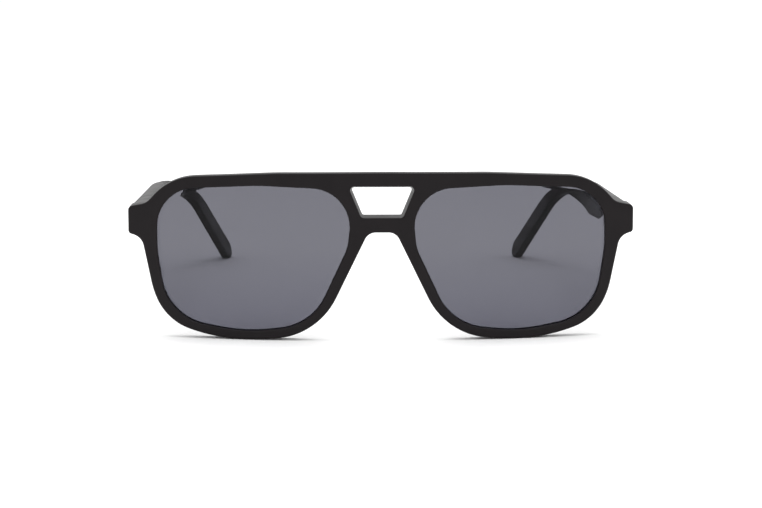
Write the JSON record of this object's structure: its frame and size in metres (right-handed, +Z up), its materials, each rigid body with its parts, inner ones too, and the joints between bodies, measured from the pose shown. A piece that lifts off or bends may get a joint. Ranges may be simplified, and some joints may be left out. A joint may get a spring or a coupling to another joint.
{
  "type": "sunglasses",
  "caption": "Flat-topped double-bridge sunglasses with a matte black frame, smoke-grey lenses and temples that fold on screwed hinges.",
  "frame": {"origin": "centre of the bounding box in X and Y, on the surface that the open glasses stand on", "axes": "+X to the wearer's left, so left_ nodes are at +X; -Y the way the wearer looks, the temples running back along +Y; +Z up, with the open glasses standing on the low edges of both rims and on both temple tips"},
  "size_m": [0.145, 0.1546, 0.048],
  "materials": {
    "frame_plastic": "fine matte rubbery black",
    "lens": "clear polished smoke-grey tint",
    "pad_plastic": "satin black",
    "core_steel": "drawn wire",
    "hinge_metal": "satin nickel silver",
    "screw_steel": "bright turned steel"
  },
  "bodies": {
    "front": {"front_frame": "frame_plastic", "left_lens": "lens", "right_lens": "lens", "left_nose_pad": "pad_plastic", "right_nose_pad": "pad_plastic", "left_front_hinge": "hinge_metal", "right_front_hinge": "hinge_metal", "left_hinge_screw": "screw_steel", "right_hinge_screw": "screw_steel"},
    "left_temple": {"left_temple": "frame_plastic", "left_core_wire": "core_steel", "left_temple_hinge": "hinge_metal"},
    "right_temple": {"right_temple": "frame_plastic", "right_core_wire": "core_steel", "right_temple_hinge": "hinge_metal"}
  },
  "joints": [
    {"name": "left_temple_fold", "type": "hinge", "parent": "front", "child": "left_temple", "pos_m": [0.066, -0.05751, 0.03279], "axis": [0, 0.0449, 0.999], "range_deg": [0, 84]},
    {"name": "right_temple_fold", "type": "hinge", "parent": "front", "child": "right_temple", "pos_m": [-0.066, -0.05751, 0.03279], "axis": [0, -0.0449, -0.999], "range_deg": [0, 68]}
  ]
}
